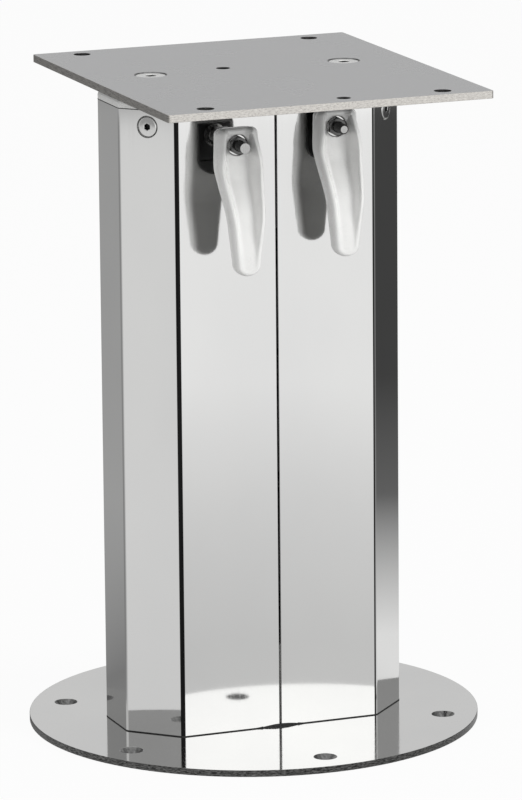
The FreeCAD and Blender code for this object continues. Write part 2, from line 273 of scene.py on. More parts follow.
def past_belly(drop):
    """Share of the way from the handle's belly to its tip."""
    return np.clip((drop - HANDLE_BELLY) / (HANDLE_LENGTH - HANDLE_BELLY), 0.0, 1.0)


def handle_half_width(drop, head=RIM_HEAD):
    """Half the handle's width by drop: a smooth swell from head to belly, then an even taper."""
    belly_width, taper, swell_start = 28.0, 13.8, -9.0
    swell = (belly_width - head) * ease((drop - swell_start) / (HANDLE_BELLY - swell_start))
    return (head + swell - taper * past_belly(drop)) / 2.0


def trough_half_floor(drop):
    """Half the width of the trough's floor by drop: even down to the belly, then an even taper."""
    width, taper = 13.4, 7.4
    return (width - taper * past_belly(drop)) / 2.0


def trough_depth(drop):
    """Depth of the trough below the rims by drop: the deepest, less an even and a late rise."""
    deepest, least = 7.0, 0.2
    even_start, even_run, even_rise = 20.0, 54.0, 5.8
    late_start, late_run, late_rise = 42.0, 22.0, 1.5
    risen = np.clip((drop - even_start) / even_run, 0.0, 1.0)
    risen_late = ease((drop - late_start) / late_run)
    return np.maximum(deepest - even_rise * risen - late_rise * risen_late, least)


def handle_back(drop):
    """How far the handle's back is cranked out from its head, by drop: one smooth step."""
    crank, start, run = 13.0, 9.0, 37.0
    return crank * ease((drop - start) / run)


def handle_thickness(drop):
    """Thickness of the handle from back to rims, by drop: one smooth step from head to tip."""
    thinning = 3.0
    return HEAD_THICKNESS - thinning * ease(drop / HANDLE_LENGTH)


def handle_outline(head, corner):
    """Front view of the handle as a closed loop of x and drop.

    The right half runs along the flat top, round the corner by a quarter circle, down the side by
    the half width and round the tip by a quarter ellipse. The left half is its mirror image.
    """
    tip = 7.1
    quarter = np.linspace(0.0, np.pi / 2.0, 13)
    top_half = handle_half_width(np.array(-HANDLE_TOP), head)
    top_x = np.linspace(0.0, top_half - corner, 13)[:-1]
    top_drop = np.full(len(top_x), -HANDLE_TOP)
    corner_x = top_half - corner + corner * np.sin(quarter)
    corner_drop = -HANDLE_TOP + corner - corner * np.cos(quarter)
    side_drop = np.linspace(-HANDLE_TOP + corner, HANDLE_LENGTH - tip, 80)[1:-1]
    side_x = handle_half_width(side_drop, head)
    tip_angle = np.linspace(0.0, np.pi / 2.0, 25)
    tip_x = handle_half_width(np.array(HANDLE_LENGTH - tip)) * np.cos(tip_angle)
    tip_drop = HANDLE_LENGTH - tip + tip * np.sin(tip_angle)
    x = np.concatenate([top_x, corner_x, side_x, tip_x])
    drop = np.concatenate([top_drop, corner_drop, side_drop, tip_drop])
    return np.concatenate([x, -x[-2:0:-1]]), np.concatenate([drop, drop[-2:0:-1]])


def inset_loop(loop_x, loop_drop, inset):
    """Closed loop moved inwards along its normals."""
    along_x = np.roll(loop_x, -1) - np.roll(loop_x, 1)
    along_drop = np.roll(loop_drop, -1) - np.roll(loop_drop, 1)
    length = np.hypot(along_x, along_drop)
    return loop_x - along_drop / length * inset, loop_drop + along_x / length * inset


def rounded_corner(before, corner, after, steps=7):
    """Corner of a profile replaced by the parabola that touches both of its sides."""
    t = np.linspace(0.0, 1.0, steps)[:, None, None]
    return (1.0 - t) ** 2 * before + 2.0 * t * (1.0 - t) * corner + t ** 2 * after


def handle_shell(name, x, z, standoff):
    """Handle as loops inset from its outline: back, side, rim, trough wall and trough floor.

    A loop is the outline moved inwards along its normal. The head's outline is wide and square at
    the back and goes evenly to a narrower, rounder one at the rims. A corner of the profile is its
    inset, its share of the thickness, its share of the trough's depth and a rise, and corners are
    rounded in all four together. The rims are lower in the head, and along its top they sink to
    the floor, so the trough is open there. The back and the floor close on the centre line, and
    depths follow the cranked form at each point's own drop.
    """
    back_round, rim_round, side_round = 3.2, 2.5, 5.0
    rim_width, top_wall, floor_round = 3.1, 3.6, 1.3
    floor_start, floor_run = -7.5, 6.0
    low_end, low_run, lowest = 8.0, 18.0, 0.55
    gap_half, gap_run, gap_end, gap_drop_run = 9.4, 4.4, -4.0, 3.0
    loop_x, loop_drop = handle_outline(RIM_HEAD, RIM_CORNER)
    open_up = ease((loop_drop - floor_start) / floor_run)
    wall = handle_half_width(loop_drop) - trough_half_floor(loop_drop)
    floor_inset = top_wall + (wall - top_wall) * open_up
    low_head = lowest * ease((low_end - loop_drop) / low_run)
    in_gap = ease((gap_half - np.abs(loop_x)) / gap_run)
    open_top = in_gap * ease((gap_end - loop_drop) / gap_drop_run)
    sink = low_head + (1.0 - low_head) * open_top

    def corner(inset, thick, sunk, rise):
        """One corner of the profile at every point of the loop."""
        return np.stack(np.broadcast_arrays(inset + 0.0 * loop_drop, thick, sunk, rise), -1)

    def on_wall(share):
        """Point of the trough's wall, by its share of the way from rim to floor."""
        inset = rim_width + share * (floor_inset - rim_width)
        return corner(inset, 1.0, sink + share * (1.0 - sink), 0.0)

    back_edge = rounded_corner(corner(back_round, 0.0, 0.0, 0.0), corner(0.0, 0.0, 0.0, 0.0),
                               corner(0.0, 0.0, 0.0, side_round), 11)
    rim_edge = rounded_corner(corner(0.0, 1.0, sink, -side_round), corner(0.0, 1.0, sink, 0.0),
                              corner(rim_round, 1.0, sink, 0.0), 13)
    wall_top = rounded_corner(corner(rim_round + 0.05, 1.0, sink, 0.0), on_wall(0.0), on_wall(0.42))
    wall_foot = rounded_corner(on_wall(0.58), on_wall(1.0),
                               corner(floor_inset + floor_round * open_up, 1.0, 1.0, 0.0), 9)
    profile = np.concatenate([back_edge, rim_edge, wall_top, wall_foot])
    inset = profile[:, :, 0]
    shares = profile[:, :, 1:]
    at_rim = np.clip(shares[:, :, 0] + shares[:, :, 2] / HEAD_THICKNESS, 0.0, 1.0)
    back_x, back_drop = inset_loop(*handle_outline(BACK_HEAD, BACK_CORNER), inset)
    rim_x, rim_drop = inset_loop(loop_x, loop_drop, inset)
    point_x = back_x + (rim_x - back_x) * at_rim
    point_drop = back_drop + (rim_drop - back_drop) * at_rim

    def closing(row, closed, low, high):
        """Loops from a row to the centre line between two drops, one for each share closed."""
        closed = np.array(closed)[:, None]
        centre = np.clip(point_drop[row], low, high)
        return point_x[row] * (1.0 - closed), point_drop[row] + (centre - point_drop[row]) * closed

    back_loops = closing(0, (1.0, 0.5), -5.0, 68.0)
    floor_loops = closing(-1, (0.35, 0.7, 1.0), -2.0, 66.0)
    point_x = np.concatenate([back_loops[0], point_x, floor_loops[0]])
    point_drop = np.concatenate([back_loops[1], point_drop, floor_loops[1]])
    shares = np.concatenate([shares[[0, 0]], shares, shares[[-1, -1, -1]]])
    depth = standoff + handle_back(point_drop) + shares[:, :, 0] * handle_thickness(point_drop)
    depth = depth - shares[:, :, 1] * trough_depth(point_drop) + shares[:, :, 2]
    points = np.stack([x + point_x, FRONT_Y - depth, z - point_drop], -1)
    faces = grid_faces(*point_x.shape, close_columns=True)
    return mesh_piece(name, points, faces, HANDLE_CREASE)


def pocket_cutter(x, z, standoff):
    """Prism with a half-round foot that clears the hub in the handle's back."""
    half, top, foot_centre = 10.3, 7.1, -13.3
    ends = standoff + np.array([-6.0, 3.0])
    foot = np.linspace(0.0, np.pi, 33)
    loop_x = np.concatenate([[half], half * np.cos(foot), [-half]])
    loop_z = np.concatenate([[top], foot_centre - half * np.sin(foot), [top]])
    points = np.stack(np.broadcast_arrays(x + loop_x, FRONT_Y - ends[:, None], z + loop_z), -1)
    return capped(mesh_piece("pocket", points, grid_faces(2, len(loop_x), close_columns=True)))


def handle_piece(side, finish):
    """White cranked handle with its nut recess, screw hole and hub pocket."""
    x, z, standoff = LEVERS[side]
    hole, recess, mouth = 3.06, 6.3, 6.6
    bore_profile = [(-2.0, 0.0), (-2.0, hole), (HANDLE_WEB, hole), (HANDLE_WEB, recess),
                    (6.2, recess), (6.5, mouth), (16.0, mouth), (16.0, 0.0)]
    piece = handle_shell("handle_" + side + "_moulded", x, z, standoff)
    along, radius = rings(bore_profile, 64)
    bore = turned("bore", along, radius, outward(x, z, standoff), OUTWARDS, (1, 0, 0))
    cut(piece, bore, HANDLE_CREASE)
    cut(piece, pocket_cutter(x, z, standoff), HANDLE_CREASE)
    flat_normals(piece)
    return place(piece, "lever_" + side, finish, "handle_plastic", "handle_" + side)


# Collar and painted shadow gaps

def collar_piece(finish):
    """Guide collar with a channel down the middle of its front, behind the column's slit."""
    piece = dressed("guide_collar", finish, "guide_plastic", 0.3)
    middle = np.array([0.0, -38.0, 340.5])
    half_size = np.array([2.5, 6.0, 39.5])
    reach = (-1.0, 1.0)
    points = middle + half_size * np.stack(np.meshgrid(reach, reach, reach, indexing="ij"), -1)
    faces = np.array([[0, 1, 3, 2], [4, 5, 7, 6], [0, 1, 5, 4],
                      [2, 3, 7, 6], [0, 2, 6, 4], [1, 3, 7, 5]])
    cut(piece, mesh_piece("channel", points, faces))
    flat_normals(piece)


def column_outline():
    """Outer outline of the column and its outward normals: an octagon whose bends are arcs."""
    half_x, half_y = COLUMN_HALF_X, COLUMN_HALF_Y
    flat_x, flat_y = half_x - COLUMN_CHAMFER, half_y - COLUMN_CHAMFER
    right = np.array([(flat_x, -half_y), (half_x, -flat_y), (half_x, flat_y), (flat_x, half_y)])
    corners = np.concatenate([right, right[::-1] * (-1.0, 1.0)])
    heading = np.radians(-90.0 + 45.0 * np.arange(8))
    middle = heading + np.pi / 8.0
    to_centre = COLUMN_BEND / math.cos(np.pi / 8.0)
    centre = corners - to_centre * np.stack([np.cos(middle), np.sin(middle)], -1)
    angle = heading[:, None] + np.linspace(0.0, np.pi / 4.0, 9)
    normal = np.stack([np.cos(angle), np.sin(angle)], -1)
    front_x = np.linspace(centre[-1, 0], centre[0, 0], 65)[1:-1]
    front = np.stack([front_x, np.full(len(front_x), -half_y)], -1)
    points = np.concatenate([(centre[:, None] + COLUMN_BEND * normal).reshape(-1, 2), front])
    front_normal = np.tile([0.0, -1.0], (len(front_x), 1))
    return points, np.concatenate([normal.reshape(-1, 2), front_normal])


def shadow_gap_strip(name, low, high, stand, arch, finish):
    """Thin near-black strip round the column between two heights, painted shade standing in for the
    shadow gap at the joint, that also fills the arch in its foot with painted shade.

    It stands proud of the sheet. In the arch it rises as one less the square of the distance over
    the half width, and stands back.
    """
    arch_half, stand_back, inside, edge = 14.0, 0.35, -0.9, 0.1
    points, normals = column_outline()
    on_front = points[:, 1] < FRONT_Y + 0.1
    rise = np.clip(1.0 - (points[:, 0] / arch_half) ** 2, 0.0, 1.0)
    share = np.where(on_front, rise, 0.0) * (arch > 0.0)
    outside = stand - (stand + stand_back) * ease(share * 5.0 - 1.5)
    inner = np.full(len(points), inside)
    top = high + arch * share
    offset = np.stack([inner, outside - edge, outside, outside, outside - edge, inner])
    height = np.stack(np.broadcast_arrays(low, low, low + edge, top - edge, top, top))
    plan = points[None] + offset[:, :, None] * normals[None]
    loops = np.concatenate([plan, height[:, :, None]], -1)
    faces = grid_faces(*height.shape, close_rows=True, close_columns=True)
    return place(mesh_piece(name, loops, faces), "base", finish, "hub_plastic")


# Screws and nuts

def socket_shade_cups(name, seats, axes, across_flats, low, high, body, finish):
    """Painted shade in hexagonal sockets: floor and walls as one thin near-black cup in each."""
    gap, wall, thickness = 0.02, 0.12, 0.15
    socket = hexagon(across_flats, 48)[None]
    centre = 0.0 * socket
    levels = np.array([low, low, high, high, low + thickness, low + thickness])
    along = levels[:, None] + centre
    outer, inner = socket - gap, socket - wall
    radius = np.concatenate([centre, outer, outer, inner, inner, centre])
    sides = [(0, 0, 1) if abs(axis[2]) < 0.5 else (1, 0, 0) for axis in axes]
    pieces = [turned("cup", along, radius, seat, axis, side)
              for seat, axis, side in zip(seats, axes, sides)]
    return place(joined(name, pieces), body, finish, "hub_plastic")


def thread(along, angle, pitch, depth):
    """Depth of a thread below its crest: a triangle wave of distance over pitch less turns.

    Its crest and root are flat.
    """
    flat = 0.12
    phase = (along / pitch - angle / (2.0 * np.pi)) % 1.0
    wave = np.abs(2.0 * phase - 1.0)
    return depth * np.clip((wave - flat) / (1.0 - 2.0 * flat), 0.0, 1.0)


def clamp_screw_piece(side, finish):
    """Stepped screw: point, coarse thread, shoulder, neck through the hub, fine thread, chamfer."""
    x, z, standoff = LEVERS[side]
    segments = 48
    shoulder, neck, end = standoff - 2.5, standoff + 4.0, standoff + 18.2
    coarse_radius, coarse_pitch, coarse_depth = 4.0, 1.25, 0.62
    fine_radius, fine_pitch, fine_depth = 3.0, 1.0, 0.5
    end_radius, chamfer_slope = 2.15, 1.1
    inner = np.arange(-4.6, shoulder, 0.13)
    outer = np.arange(neck, end, 0.1)
    profile = np.concatenate([
        [(-6.0, 0.0), (-6.0, 2.5), (-4.65, 2.5), (-4.65, 3.6)],
        np.stack([inner, np.full(len(inner), coarse_radius)], -1),
        [(shoulder, 3.9), (shoulder, 6.7), (shoulder + 0.3, 7.0), (shoulder + 1.2, 7.0),
         (shoulder + 1.5, 6.7), (shoulder + 1.5, fine_radius), (neck - 0.1, fine_radius)],
        np.stack([outer, np.full(len(outer), fine_radius)], -1),
        [(end, end_radius), (end, 0.0)]])
    along, radius = rings(profile, segments)
    angle = around(segments)[None]
    coarse = (along > -4.63) & (along < shoulder - 0.05)
    fine = (along >= neck) & (along < end - 0.01)
    radius = radius - np.where(coarse, thread(along, angle, coarse_pitch, coarse_depth), 0.0)
    radius = radius - np.where(fine, thread(along, angle, fine_pitch, fine_depth), 0.0)
    chamfer = end_radius + (end - along) * chamfer_slope
    radius = np.where(fine, np.minimum(radius, chamfer), radius)
    name = "clamp_screw_" + side + "_threaded"
    piece = turned(name, along, radius, outward(x, z, 0.0), OUTWARDS, (1, 0, 0), 40.0)
    return place(piece, "lever_" + side, finish, "polished_steel", "clamp_screw_" + side)


def lock_nut_piece(side, finish):
    """Thin lock nut on the washer: a hexagon cut back at each end by a shallow turned cone.

    The radius is the smaller of the hexagon's and the cone's, and the bore has a small mouth.
    """
    x, z, standoff = LEVERS[side]
    across_flats, height, bore, mouth, washer = 10.0, 4.0, 6.05, 0.35, 0.8
    segments = 96
    hexagonal = hexagon(across_flats, segments)[None]
    corner = across_flats / math.sqrt(3.0)
    face = across_flats / 2.0 * 0.95
    reach = np.linspace(0.0, 1.0, 9)
    steps = (corner - face) * math.tan(math.radians(30.0)) * reach
    cone = (face + (corner - face) * reach)[:, None]
    low = np.minimum(cone, hexagonal)
    inner = np.full((1, segments), bore / 2.0)
    radius = np.concatenate([inner, inner + mouth, low, low[::-1], inner + mouth, inner, inner])
    distance = np.concatenate([[mouth, 0.0], steps, height - steps[::-1],
                               [height, height - mouth, mouth]])
    along = np.repeat(distance[:, None], segments, 1)
    seat = outward(x, z, standoff + HANDLE_WEB + washer)
    flat_side = (math.cos(math.pi / 6), 0, 0.5)
    name = "lock_nut_" + side + "_turned"
    piece = turned(name, along, radius, seat, OUTWARDS, flat_side, 25.0)
    flat_normals(piece)
    return place(piece, "lever_" + side, finish, "polished_steel", "lock_nut_" + side)


def collar_screw_pieces(finish, socket_shade_finish):
    """Four button heads with a round edge and a hexagonal socket, and shanks, one on each chamfer.

    From the rim to the socket's mouth the radius goes evenly from a circle to a hexagon while the
    crown rises as a flat parabola.
    """
    segments = 72
    body_profile = [(-4.4, 0.0), (-4.4, 2.7), (-4.1, 3.0), (0.0, 3.0), (0.0, 5.7), (0.1, 5.8),
                    (1.8, 5.8), (2.05, 5.73), (2.25, 5.55)]
    crown_radius, crown_foot, crown_rise = 5.25, 2.35, 0.25
    mouth, mouth_height, wall_foot, floor_height = 0.15, 2.45, 0.6, 0.5
    socket = hexagon(COLLAR_SOCKET, segments)[None]
    circle = np.ones((1, segments))
    share = np.linspace(0.0, 1.0, 10)[:, None]
    crown = crown_radius * (1.0 - share) + (socket + mouth) * share
    lift = crown_foot + crown_rise * (1.0 - (1.0 - share) ** 2) + 0.0 * socket
    along, radius = rings(body_profile, segments)
    along = np.concatenate([along, lift, mouth_height * circle, wall_foot * circle,
                            floor_height * circle])
    radius = np.concatenate([radius, crown, socket, socket, 0.0 * circle])
    quarter = np.array([(x, y) for x in (-1, 1) for y in (-1, 1)], float)
    axes = np.concatenate([quarter / math.sqrt(2.0), np.zeros((4, 1))], 1)
    half_chamfer = COLUMN_CHAMFER / 2.0
    middles = quarter * (COLUMN_HALF_X - half_chamfer, COLUMN_HALF_Y - half_chamfer)
    seats = np.concatenate([middles, np.full((4, 1), COLLAR_SCREW_Z)], 1) - axes * COLLAR_SEAT
    pieces = [turned("collar_screw", along, radius, seat, axis, (0, 0, 1), SCREW_CREASE)
              for seat, axis in zip(seats, axes)]
    screws = joined("collar_screws_domed", pieces)
    place(screws, "base", finish, "polished_steel", "collar_screws")
    socket_shade_cups("collar_socket_shade", seats, axes, COLLAR_SOCKET, 0.52, 2.4, "base", socket_shade_finish)


def plate_screw_pieces(finish, socket_shade_finish):
    """The two countersunk screws, a little sunk: shank, cone, rounded rim and hexagonal socket."""
    segments = 96
    body_profile = [(371.0, 0.0), (371.0, 4.4), (371.6, 5.0), (390.2, 5.0), (393.8, 8.6),
                    (394.1, 8.8), (394.35, 8.75), (394.5, 8.5), (394.5, 6.0)]
    mouth = 0.3
    socket_levels = np.array([394.5, 394.2, 392.2, 392.0])
    socket = hexagon(PLATE_SOCKET, segments)[None]
    along, radius = rings(body_profile, segments)
    along = np.concatenate([along, np.repeat(socket_levels[:, None], segments, 1)])
    radius = np.concatenate([radius, socket + mouth, socket, socket, 0.0 * socket])
    seats = np.array([(-PLATE_SCREW_X, 0.0, 0.0), (PLATE_SCREW_X, 0.0, 0.0)])
    axes = np.array([(0.0, 0.0, 1.0), (0.0, 0.0, 1.0)])
    pieces = [turned("plate_screw", along, radius, seat, axis, (1, 0, 0), SCREW_CREASE)
              for seat, axis in zip(seats, axes)]
    screws = joined("plate_screws_turned", pieces)
    place(screws, "mast", finish, "polished_steel", "plate_screws")
    socket_shade_cups("plate_socket_shade", seats, axes, PLATE_SOCKET, 392.05, 394.15, "mast", socket_shade_finish)


# Finishes

def finish_material(name, colour, metallic, roughness):
    """Material with one shader, its node tree and the object coordinates."""
    material = bpy.data.materials.new(name)
    material.use_nodes = True
    tree = material.node_tree
    shader = tree.nodes["Principled BSDF"]
    shader.inputs["Base Color"].default_value = (*colour, 1.0)
    shader.inputs["Metallic"].default_value = metallic
    shader.inputs["Roughness"].default_value = roughness
    coordinates = tree.nodes.new("ShaderNodeTexCoord")
    return material, tree, shader, coordinates.outputs["Object"]


def feed(tree, value, socket):
    """Sets a number on a socket, or links an output to it."""
    if isinstance(value, (int, float)):
        socket.default_value = value
    else:
        tree.links.new(value, socket)


def grain(tree, place_output, scale, detail, roughness):
    """Noise stretched by a scale along each axis."""
    mapping = tree.nodes.new("ShaderNodeMapping")
    mapping.inputs["Scale"].default_value = scale
    noise = tree.nodes.new("ShaderNodeTexNoise")
    noise.inputs["Scale"].default_value = 1.0
    noise.inputs["Detail"].default_value = detail
    noise.inputs["Roughness"].default_value = roughness
    tree.links.new(place_output, mapping.inputs["Vector"])
    tree.links.new(mapping.outputs["Vector"], noise.inputs["Vector"])
    return noise.outputs["Fac"]


def spread(tree, value, low, high, low_out=0.0, high_out=1.0):
    """Value mapped from one range to another and held at its ends."""
    node = tree.nodes.new("ShaderNodeMapRange")
    node.inputs["From Min"].default_value = low
    node.inputs["From Max"].default_value = high
    node.inputs["To Min"].default_value = low_out
    node.inputs["To Max"].default_value = high_out
    tree.links.new(value, node.inputs["Value"])
    return node.outputs["Result"]


def patches(tree, noise, low_out=0.0, high_out=1.0):
    """Noise mapped from where most of it lies, 0.3 to 0.7, to a range."""
    return spread(tree, noise, 0.3, 0.7, low_out, high_out)


def combine(tree, operation, first, second=0.0):
    """Sum, product or other operation on one or two values."""
    node = tree.nodes.new("ShaderNodeMath")
    node.operation = operation
    feed(tree, first, node.inputs[0])
    feed(tree, second, node.inputs[1])
    return node.outputs["Value"]


def tint(tree, value, low_colour, high_colour):
    """Colour between two, by a value from 0 to 1."""
    node = tree.nodes.new("ShaderNodeMix")
    node.data_type = "RGBA"
    node.inputs["A"].default_value = (*low_colour, 1.0)
    node.inputs["B"].default_value = (*high_colour, 1.0)
    tree.links.new(value, node.inputs["Factor"])
    return node.outputs["Result"]


def between(tree, share, first, second, colour=False):
    """Mix of two linked values or colours."""
    node = tree.nodes.new("ShaderNodeMix")
    node.data_type = "RGBA" if colour else "FLOAT"
    sockets = [socket for socket in node.inputs if socket.enabled]
    for output, socket in zip((share, first, second), sockets):
        tree.links.new(output, socket)
    return next(socket for socket in node.outputs if socket.enabled)


def mixed_shaders(tree, share, first, second):
    """Mix of two shaders."""
    node = tree.nodes.new("ShaderNodeMixShader")
    for value, socket in zip((share, first, second), node.inputs):
        feed(tree, value, socket)
    return node.outputs["Shader"]


def vector_length(tree, vector):
    """Length of a vector."""
    node = tree.nodes.new("ShaderNodeVectorMath")
    node.operation = "LENGTH"
    tree.links.new(vector, node.inputs[0])
    return node.outputs["Value"]


def axes_of(tree, vector):
    """The three parts of a vector."""
    split = tree.nodes.new("ShaderNodeSeparateXYZ")
    tree.links.new(vector, split.inputs["Vector"])
    return split.outputs


def bump(tree, shader, height, strength, distance):
    """Bump of the shader from a height."""
    node = tree.nodes.new("ShaderNodeBump")
    node.inputs["Strength"].default_value = strength
    node.inputs["Distance"].default_value = distance
    tree.links.new(height, node.inputs["Height"])
    tree.links.new(node.outputs["Normal"], shader.inputs["Normal"])


def own_normal(tree):
    """The three parts of the surface's normal in the object's own axes."""
    return axes_of(tree, tree.nodes.new("ShaderNodeTexCoord").outputs["Normal"])


def facing(tree, axis):
    """How far the surface faces along an axis, either way, from 0 to 1."""
    return combine(tree, "ABSOLUTE", own_normal(tree)[axis])


def upright_share(tree, low, high):
    """1 where the surface faces sideways, 0 where it faces up or down."""
    return spread(tree, facing(tree, "Z"), low, high, 1.0, 0.0)


def disc_rim(tree, place_output):
    """1 on the disc's rim and 0 in its holes, by distance from the leg's axis."""
    inside_rim = 133.0 * MM
    flat = tree.nodes.new("ShaderNodeVectorMath")
    flat.operation = "MULTIPLY"
    flat.inputs[1].default_value = (1.0, 1.0, 0.0)
    tree.links.new(place_output, flat.inputs[0])
    distance = vector_length(tree, flat.outputs["Vector"])
    return combine(tree, "GREATER_THAN", distance, inside_rim)


def front_bend_reflection_share(tree):
    """1 in the sheet's two front bends, where a dark reflection is painted, by the bearing in
    degrees that the surface faces.

    0 is the front. Each bend has two bearings where its band begins and two where it ends.
    """
    normal = own_normal(tree)
    forward = combine(tree, "MULTIPLY", normal["Y"], -1.0)
    bearing = combine(tree, "ARCTAN2", normal["X"], forward)
    bearing = combine(tree, "MULTIPLY", bearing, 180.0 / math.pi)

    def band(begin, full, fade, end):
        """1 between two bearings, with soft ends."""
        starting = spread(tree, bearing, begin, full)
        return combine(tree, "MULTIPLY", starting, spread(tree, bearing, fade, end, 1.0, 0.0))

    return combine(tree, "ADD", band(-44.5, -41.0, -4.0, -1.0), band(4.0, 8.0, 20.0, 25.0))


def outer_edge(tree, place_output):
    """1 on the top plate's sheared outer edges and 0 in its holes, by distance from its middle."""
    margin = 1.0 * MM
    position = axes_of(tree, place_output)
    side = combine(tree, "ABSOLUTE", position["X"])
    depth = combine(tree, "ABSOLUTE", combine(tree, "SUBTRACT", position["Y"], PLATE_SHIFT_Y * MM))
    past_side = combine(tree, "SUBTRACT", side, PLATE_HALF_X * MM)
    past_front = combine(tree, "SUBTRACT", depth, PLATE_HALF_Y * MM)
    return combine(tree, "GREATER_THAN", combine(tree, "MAXIMUM", past_side, past_front), -margin)


def mirror_steel(name, line_scale, roughness, cut_edges_and_hole_shade=False, painted_bend_reflection=False):
    """Mirror-polished stainless steel: faint polishing lines and wiped-haze patches in its gloss.

    If asked, its cut rim is dark, with painted shade in its bores and countersinks, or a dark
    reflection is painted on its front bends.
    """
    colour = (0.80, 0.80, 0.79)
    material, tree, shader, place_output = finish_material(name, colour, 1.0, roughness)
    lines = grain(tree, place_output, line_scale, 4.0, 0.6)
    haze = grain(tree, place_output, (9.0, 9.0, 6.0), 3.0, 0.5)
    gloss = spread(tree, haze, 0.35, 0.7, roughness * 0.8, roughness * 1.5)
    scored = spread(tree, lines, 0.35, 0.7, 0.0, roughness * 0.5)
    rough = combine(tree, "ADD", gloss, scored)
    tone = tint(tree, patches(tree, haze), (0.78, 0.78, 0.775), (0.83, 0.83, 0.82))
    if cut_edges_and_hole_shade:
        sides = upright_share(tree, 0.85, 0.95)
        rim = combine(tree, "MULTIPLY", sides, disc_rim(tree, place_output))
        edge = combine(tree, "MAXIMUM", rim, upright_share(tree, 0.1, 0.3))
        # painted shade: the countersinks and other sloped faces are darkened to stand for the shade
        # in the holes
        sunk = tint(tree, patches(tree, lines), (0.10, 0.10, 0.10), (0.24, 0.24, 0.237))
        tone = between(tree, sides, tone, sunk, colour=True)
        burr = grain(tree, place_output, (420.0, 420.0, 2600.0), 4.0, 0.65)
        rough = between(tree, edge, rough, patches(tree, burr, 0.18, 0.42))
        mottle = spread(tree, burr, 0.40, 0.66)
        # dark cut-edge tone on the disc's rim, and painted shade where the same tone covers the
        # hole bores
        sheared = tint(tree, mottle, (0.022, 0.022, 0.022), (0.24, 0.24, 0.235))
        tone = between(tree, edge, tone, sheared, colour=True)
    # painted reflection: the two front bends turn near black from any side, standing in for the
    # dark studio they reflect
    if painted_bend_reflection:
        dark_reflection_tone = tint(tree, patches(tree, lines), (0.008, 0.008, 0.008), (0.02, 0.02, 0.02))
        tone = between(tree, front_bend_reflection_share(tree), tone, dark_reflection_tone, colour=True)
    tree.links.new(rough, shader.inputs["Roughness"])
    tree.links.new(tone, shader.inputs["Base Color"])
    bump(tree, shader, lines, 0.03, 0.2 * MM)
    return material


def satin_plate():
    """Satin plate: fine straight grain and soft clouding on its faces, mottled sheared edges,
    painted shade in its bores and on the edges that face left and right.
    """
    colour = (0.62, 0.61, 0.58)
    material, tree, shader, place_output = finish_material("satin_plate", colour, 1.0, 0.3)
    lines = grain(tree, place_output, (30.0, 2200.0, 30.0), 3.0, 0.6)
    clouds = grain(tree, place_output, (16.0, 11.0, 16.0), 4.0, 0.6)
    burr = grain(tree, place_output, (480.0, 150.0, 1500.0), 4.0, 0.65)
    mottle = spread(tree, burr, 0.35, 0.65)
    upright = upright_share(tree, 0.85, 0.95)
    edge = combine(tree, "MULTIPLY", upright, outer_edge(tree, place_output))
    bore = combine(tree, "SUBTRACT", upright, edge)
    face_rough = combine(tree, "ADD", patches(tree, lines, 0.243, 0.258),
                         patches(tree, clouds, -0.03, 0.05))
    rough = between(tree, edge, face_rough, patches(tree, burr, 0.2, 0.45))
    tree.links.new(rough, shader.inputs["Roughness"])
    face_tone = tint(tree, patches(tree, clouds), (0.455, 0.457, 0.463), (0.515, 0.517, 0.523))
    # painted shade: the plate's hole bores turn near black
    bore_painted_shade = tint(tree, mottle, (0.10, 0.10, 0.10), (0.26, 0.26, 0.257))
    face_tone = between(tree, bore, face_tone, bore_painted_shade, colour=True)
    # painted shade: the sheared edges facing left and right are darker than those facing front and
    # back
    front_tone = tint(tree, mottle, (0.405, 0.387, 0.368), (0.662, 0.644, 0.607))
    side_edge_shade_tone = tint(tree, mottle, (0.265, 0.253, 0.242), (0.46, 0.447, 0.422))
    sideways = spread(tree, facing(tree, "X"), 0.6, 0.8)
    edge_tone = between(tree, sideways, front_tone, side_edge_shade_tone, colour=True)
    tone = between(tree, edge, face_tone, edge_tone, colour=True)
    tree.links.new(tone, shader.inputs["Base Color"])
    height = between(tree, edge, spread(tree, lines, 0.0, 1.0, 0.0, 0.02), burr)
    bump(tree, shader, height, 0.06, 0.2 * MM)
    return material


def darker(colour, share):
    """Colour times a share."""
    return tuple(channel * share for channel in colour)


def moulded_plastic(name, colour, roughness, texture, coat):
    """Moulded plastic: slight clouding of its colour, a fine moulded skin in its gloss and bump."""
    material, tree, shader, place_output = finish_material(name, colour, 0.0, roughness)
    clouds = grain(tree, place_output, (60.0, 60.0, 45.0), 3.0, 0.5)
    skin = grain(tree, place_output, (1600.0, 1600.0, 1600.0), 2.0, 0.5)
    tone = tint(tree, patches(tree, clouds), darker(colour, 0.94), colour)
    tree.links.new(tone, shader.inputs["Base Color"])
    gloss = patches(tree, clouds, roughness * 0.85, roughness * 1.15)
    rough = combine(tree, "ADD", gloss, patches(tree, skin, 0.0, 0.06))
    tree.links.new(rough, shader.inputs["Roughness"])
    shader.inputs["Coat Weight"].default_value = coat
    shader.inputs["Coat Roughness"].default_value = 0.12
    bump(tree, shader, skin, texture, 0.1 * MM)
    return material


